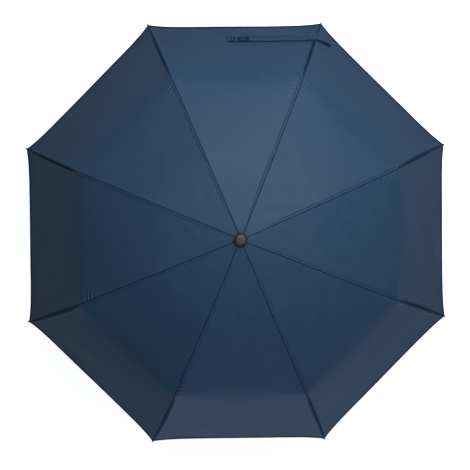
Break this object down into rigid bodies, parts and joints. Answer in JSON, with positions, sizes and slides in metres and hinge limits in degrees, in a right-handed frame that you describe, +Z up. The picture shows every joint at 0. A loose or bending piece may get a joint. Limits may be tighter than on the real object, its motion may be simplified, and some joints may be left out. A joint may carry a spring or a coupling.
{
  "type": "folding umbrella",
  "caption": "Open three-fold pocket umbrella: gored cloth canopy on hinged steel ribs, sliding runner, telescoping shaft and short straight grip.",
  "frame": {"origin": "middle of the hand grip, on the shaft's axis", "axes": "+Z up along the shaft, towards the top cap; +X and +Y point to the middles of two gores, with the ribs at 22.5 degrees from them; the tie strap lies on the +Y gore"},
  "size_m": [0.8994, 0.8994, 0.5633],
  "materials": {
    "steel_rib": "plated, satin",
    "black_rib": "black, satin",
    "tip": "black, smooth",
    "bright_tube": "bright plated",
    "black_plastic": "fine satin",
    "soft_black": "soft touch",
    "cap_ring": "satin",
    "inlay": "satin, slightly metallic",
    "spring_steel": "bright",
    "canopy_cloth": "closely woven, slight sheen",
    "strap_cloth": "closely woven, slight sheen"
  },
  "bodies": {
    "handle": {"handle_grip": "soft_black", "handle_collar": "black_plastic", "handle_end_cap": "black_plastic", "lower_tube": "bright_tube", "lower_catch": "spring_steel"},
    "middle_shaft": {"middle_tube": "bright_tube", "lower_bush": "black_plastic", "upper_catch": "spring_steel"},
    "upper_shaft": {"upper_tube": "bright_tube", "upper_bush": "black_plastic", "crown": "black_plastic", "crown_wire": "spring_steel", "top_cap": "cap_ring", "cap_inlay": "inlay", "canopy": "canopy_cloth"},
    "runner": {"runner": "black_plastic", "button_spring": "spring_steel"},
    "runner_button": {"runner_button": "soft_black"},
    "top_rib_1": {"top_rib_1": "steel_rib"},
    "stretcher_1": {"stretcher_1": "steel_rib"},
    "middle_rib_1": {"middle_rib_1": "steel_rib"},
    "outer_rib_1": {"outer_rib_1": "black_rib", "rib_tip_1": "tip"},
    "top_rib_2": {"top_rib_2": "steel_rib"},
    "stretcher_2": {"stretcher_2": "steel_rib"},
    "middle_rib_2": {"middle_rib_2": "steel_rib"},
    "outer_rib_2": {"outer_rib_2": "black_rib", "rib_tip_2": "tip", "tie_strap": "strap_cloth"},
    "top_rib_3": {"top_rib_3": "steel_rib"},
    "stretcher_3": {"stretcher_3": "steel_rib"},
    "middle_rib_3": {"middle_rib_3": "steel_rib"},
    "outer_rib_3": {"outer_rib_3": "black_rib", "rib_tip_3": "tip"},
    "top_rib_4": {"top_rib_4": "steel_rib"},
    "stretcher_4": {"stretcher_4": "steel_rib"},
    "middle_rib_4": {"middle_rib_4": "steel_rib"},
    "outer_rib_4": {"outer_rib_4": "black_rib", "rib_tip_4": "tip"},
    "top_rib_5": {"top_rib_5": "steel_rib"},
    "stretcher_5": {"stretcher_5": "steel_rib"},
    "middle_rib_5": {"middle_rib_5": "steel_rib"},
    "outer_rib_5": {"outer_rib_5": "black_rib", "rib_tip_5": "tip"},
    "top_rib_6": {"top_rib_6": "steel_rib"},
    "stretcher_6": {"stretcher_6": "steel_rib"},
    "middle_rib_6": {"middle_rib_6": "steel_rib"},
    "outer_rib_6": {"outer_rib_6": "black_rib", "rib_tip_6": "tip"},
    "top_rib_7": {"top_rib_7": "steel_rib"},
    "stretcher_7": {"stretcher_7": "steel_rib"},
    "middle_rib_7": {"middle_rib_7": "steel_rib"},
    "outer_rib_7": {"outer_rib_7": "black_rib", "rib_tip_7": "tip"},
    "top_rib_8": {"top_rib_8": "steel_rib"},
    "stretcher_8": {"stretcher_8": "steel_rib"},
    "middle_rib_8": {"middle_rib_8": "steel_rib"},
    "outer_rib_8": {"outer_rib_8": "black_rib", "rib_tip_8": "tip"}
  },
  "joints": [
    {"name": "middle_tube_slide", "type": "slide", "parent": "handle", "child": "middle_shaft", "axis": [0, 0, -1], "range_m": [0, 0.148]},
    {"name": "upper_tube_slide", "type": "slide", "parent": "middle_shaft", "child": "upper_shaft", "axis": [0, 0, -1], "range_m": [0, 0.148]},
    {"name": "runner_slide", "type": "slide", "parent": "upper_shaft", "child": "runner", "axis": [0, 0, -1], "range_m": [0, 0.14302], "deforming": ["canopy", "tie_strap"]},
    {"name": "button_press", "type": "slide", "parent": "runner", "child": "runner_button", "axis": [-1, 0, 0], "range_m": [0, 0.0014], "stiffness_N_per_m": 400, "deforming": ["button_spring"]},
    {"name": "top_rib_hinge_1", "type": "hinge", "parent": "upper_shaft", "child": "top_rib_1", "pos_m": [0.01063, 0.0044, 0.519], "axis": [-0.3827, 0.9239, 0], "range_deg": [0, 78.51]},
    {"name": "stretcher_hinge_1", "type": "hinge", "parent": "top_rib_1", "child": "stretcher_1", "pos_m": [0.09011, 0.03732, 0.50302], "axis": [-0.3827, 0.9239, 0], "range_deg": [-157.01, 0]},
    {"name": "middle_rib_hinge_1", "type": "hinge", "parent": "top_rib_1", "child": "middle_rib_1", "pos_m": [0.17306, 0.07168, 0.49105], "axis": [-0.3827, 0.9239, 0], "range_deg": [-188.51, 0]},
    {"name": "outer_rib_hinge_1", "type": "hinge", "parent": "middle_rib_1", "child": "outer_rib_1", "pos_m": [0.3331, 0.13797, 0.4259], "axis": [-0.3827, 0.9239, 0], "range_deg": [0, 153.01]},
    {"name": "top_rib_hinge_2", "type": "hinge", "parent": "upper_shaft", "child": "top_rib_2", "pos_m": [0.0044, 0.01063, 0.519], "axis": [-0.9239, 0.3827, 0], "range_deg": [0, 78.51]},
    {"name": "stretcher_hinge_2", "type": "hinge", "parent": "top_rib_2", "child": "stretcher_2", "pos_m": [0.03732, 0.09011, 0.50302], "axis": [-0.9239, 0.3827, 0], "range_deg": [-157.01, 0]},
    {"name": "middle_rib_hinge_2", "type": "hinge", "parent": "top_rib_2", "child": "middle_rib_2", "pos_m": [0.07168, 0.17306, 0.49105], "axis": [-0.9239, 0.3827, 0], "range_deg": [-188.51, 0]},
    {"name": "outer_rib_hinge_2", "type": "hinge", "parent": "middle_rib_2", "child": "outer_rib_2", "pos_m": [0.13797, 0.3331, 0.4259], "axis": [-0.9239, 0.3827, 0], "range_deg": [0, 153.01]},
    {"name": "top_rib_hinge_3", "type": "hinge", "parent": "upper_shaft", "child": "top_rib_3", "pos_m": [-0.0044, 0.01063, 0.519], "axis": [-0.9239, -0.3827, 0], "range_deg": [0, 78.51]},
    {"name": "stretcher_hinge_3", "type": "hinge", "parent": "top_rib_3", "child": "stretcher_3", "pos_m": [-0.03732, 0.09011, 0.50302], "axis": [-0.9239, -0.3827, 0], "range_deg": [-157.01, 0]},
    {"name": "middle_rib_hinge_3", "type": "hinge", "parent": "top_rib_3", "child": "middle_rib_3", "pos_m": [-0.07168, 0.17306, 0.49105], "axis": [-0.9239, -0.3827, 0], "range_deg": [-188.51, 0]},
    {"name": "outer_rib_hinge_3", "type": "hinge", "parent": "middle_rib_3", "child": "outer_rib_3", "pos_m": [-0.13797, 0.3331, 0.4259], "axis": [-0.9239, -0.3827, 0], "range_deg": [0, 153.01]},
    {"name": "top_rib_hinge_4", "type": "hinge", "parent": "upper_shaft", "child": "top_rib_4", "pos_m": [-0.01063, 0.0044, 0.519], "axis": [-0.3827, -0.9239, 0], "range_deg": [0, 78.51]},
    {"name": "stretcher_hinge_4", "type": "hinge", "parent": "top_rib_4", "child": "stretcher_4", "pos_m": [-0.09011, 0.03732, 0.50302], "axis": [-0.3827, -0.9239, 0], "range_deg": [-157.01, 0]},
    {"name": "middle_rib_hinge_4", "type": "hinge", "parent": "top_rib_4", "child": "middle_rib_4", "pos_m": [-0.17306, 0.07168, 0.49105], "axis": [-0.3827, -0.9239, 0], "range_deg": [-188.51, 0]},
    {"name": "outer_rib_hinge_4", "type": "hinge", "parent": "middle_rib_4", "child": "outer_rib_4", "pos_m": [-0.3331, 0.13797, 0.4259], "axis": [-0.3827, -0.9239, 0], "range_deg": [0, 153.01]},
    {"name": "top_rib_hinge_5", "type": "hinge", "parent": "upper_shaft", "child": "top_rib_5", "pos_m": [-0.01063, -0.0044, 0.519], "axis": [0.3827, -0.9239, 0], "range_deg": [0, 78.51]},
    {"name": "stretcher_hinge_5", "type": "hinge", "parent": "top_rib_5", "child": "stretcher_5", "pos_m": [-0.09011, -0.03732, 0.50302], "axis": [0.3827, -0.9239, 0], "range_deg": [-157.01, 0]},
    {"name": "middle_rib_hinge_5", "type": "hinge", "parent": "top_rib_5", "child": "middle_rib_5", "pos_m": [-0.17306, -0.07168, 0.49105], "axis": [0.3827, -0.9239, 0], "range_deg": [-188.51, 0]},
    {"name": "outer_rib_hinge_5", "type": "hinge", "parent": "middle_rib_5", "child": "outer_rib_5", "pos_m": [-0.3331, -0.13797, 0.4259], "axis": [0.3827, -0.9239, 0], "range_deg": [0, 153.01]},
    {"name": "top_rib_hinge_6", "type": "hinge", "parent": "upper_shaft", "child": "top_rib_6", "pos_m": [-0.0044, -0.01063, 0.519], "axis": [0.9239, -0.3827, 0], "range_deg": [0, 78.51]},
    {"name": "stretcher_hinge_6", "type": "hinge", "parent": "top_rib_6", "child": "stretcher_6", "pos_m": [-0.03732, -0.09011, 0.50302], "axis": [0.9239, -0.3827, 0], "range_deg": [-157.01, 0]},
    {"name": "middle_rib_hinge_6", "type": "hinge", "parent": "top_rib_6", "child": "middle_rib_6", "pos_m": [-0.07168, -0.17306, 0.49105], "axis": [0.9239, -0.3827, 0], "range_deg": [-188.51, 0]},
    {"name": "outer_rib_hinge_6", "type": "hinge", "parent": "middle_rib_6", "child": "outer_rib_6", "pos_m": [-0.13797, -0.3331, 0.4259], "axis": [0.9239, -0.3827, 0], "range_deg": [0, 153.01]},
    {"name": "top_rib_hinge_7", "type": "hinge", "parent": "upper_shaft", "child": "top_rib_7", "pos_m": [0.0044, -0.01063, 0.519], "axis": [0.9239, 0.3827, 0], "range_deg": [0, 78.51]},
    {"name": "stretcher_hinge_7", "type": "hinge", "parent": "top_rib_7", "child": "stretcher_7", "pos_m": [0.03732, -0.09011, 0.50302], "axis": [0.9239, 0.3827, 0], "range_deg": [-157.01, 0]},
    {"name": "middle_rib_hinge_7", "type": "hinge", "parent": "top_rib_7", "child": "middle_rib_7", "pos_m": [0.07168, -0.17306, 0.49105], "axis": [0.9239, 0.3827, 0], "range_deg": [-188.51, 0]},
    {"name": "outer_rib_hinge_7", "type": "hinge", "parent": "middle_rib_7", "child": "outer_rib_7", "pos_m": [0.13797, -0.3331, 0.4259], "axis": [0.9239, 0.3827, 0], "range_deg": [0, 153.01]},
    {"name": "top_rib_hinge_8", "type": "hinge", "parent": "upper_shaft", "child": "top_rib_8", "pos_m": [0.01063, -0.0044, 0.519], "axis": [0.3827, 0.9239, 0], "range_deg": [0, 78.51]},
    {"name": "stretcher_hinge_8", "type": "hinge", "parent": "top_rib_8", "child": "stretcher_8", "pos_m": [0.09011, -0.03732, 0.50302], "axis": [0.3827, 0.9239, 0], "range_deg": [-157.01, 0]},
    {"name": "middle_rib_hinge_8", "type": "hinge", "parent": "top_rib_8", "child": "middle_rib_8", "pos_m": [0.17306, -0.07168, 0.49105], "axis": [0.3827, 0.9239, 0], "range_deg": [-188.51, 0]},
    {"name": "outer_rib_hinge_8", "type": "hinge", "parent": "middle_rib_8", "child": "outer_rib_8", "pos_m": [0.3331, -0.13797, 0.4259], "axis": [0.3827, 0.9239, 0], "range_deg": [0, 153.01]}
  ],
  "couplings": [
    {"joint": "top_rib_hinge_1", "follows": "runner_slide", "rad_per_m": 9.5797},
    {"joint": "stretcher_hinge_1", "follows": "runner_slide", "rad_per_m": -19.159},
    {"joint": "middle_rib_hinge_1", "follows": "runner_slide", "rad_per_m": -23.003},
    {"joint": "outer_rib_hinge_1", "follows": "runner_slide", "rad_per_m": 18.671},
    {"joint": "top_rib_hinge_2", "follows": "runner_slide", "rad_per_m": 9.5797},
    {"joint": "stretcher_hinge_2", "follows": "runner_slide", "rad_per_m": -19.159},
    {"joint": "middle_rib_hinge_2", "follows": "runner_slide", "rad_per_m": -23.003},
    {"joint": "outer_rib_hinge_2", "follows": "runner_slide", "rad_per_m": 18.671},
    {"joint": "top_rib_hinge_3", "follows": "runner_slide", "rad_per_m": 9.5797},
    {"joint": "stretcher_hinge_3", "follows": "runner_slide", "rad_per_m": -19.159},
    {"joint": "middle_rib_hinge_3", "follows": "runner_slide", "rad_per_m": -23.003},
    {"joint": "outer_rib_hinge_3", "follows": "runner_slide", "rad_per_m": 18.671},
    {"joint": "top_rib_hinge_4", "follows": "runner_slide", "rad_per_m": 9.5797},
    {"joint": "stretcher_hinge_4", "follows": "runner_slide", "rad_per_m": -19.159},
    {"joint": "middle_rib_hinge_4", "follows": "runner_slide", "rad_per_m": -23.003},
    {"joint": "outer_rib_hinge_4", "follows": "runner_slide", "rad_per_m": 18.671},
    {"joint": "top_rib_hinge_5", "follows": "runner_slide", "rad_per_m": 9.5797},
    {"joint": "stretcher_hinge_5", "follows": "runner_slide", "rad_per_m": -19.159},
    {"joint": "middle_rib_hinge_5", "follows": "runner_slide", "rad_per_m": -23.003},
    {"joint": "outer_rib_hinge_5", "follows": "runner_slide", "rad_per_m": 18.671},
    {"joint": "top_rib_hinge_6", "follows": "runner_slide", "rad_per_m": 9.5797},
    {"joint": "stretcher_hinge_6", "follows": "runner_slide", "rad_per_m": -19.159},
    {"joint": "middle_rib_hinge_6", "follows": "runner_slide", "rad_per_m": -23.003},
    {"joint": "outer_rib_hinge_6", "follows": "runner_slide", "rad_per_m": 18.671},
    {"joint": "top_rib_hinge_7", "follows": "runner_slide", "rad_per_m": 9.5797},
    {"joint": "stretcher_hinge_7", "follows": "runner_slide", "rad_per_m": -19.159},
    {"joint": "middle_rib_hinge_7", "follows": "runner_slide", "rad_per_m": -23.003},
    {"joint": "outer_rib_hinge_7", "follows": "runner_slide", "rad_per_m": 18.671},
    {"joint": "top_rib_hinge_8", "follows": "runner_slide", "rad_per_m": 9.5797},
    {"joint": "stretcher_hinge_8", "follows": "runner_slide", "rad_per_m": -19.159},
    {"joint": "middle_rib_hinge_8", "follows": "runner_slide", "rad_per_m": -23.003},
    {"joint": "outer_rib_hinge_8", "follows": "runner_slide", "rad_per_m": 18.671}
  ]
}
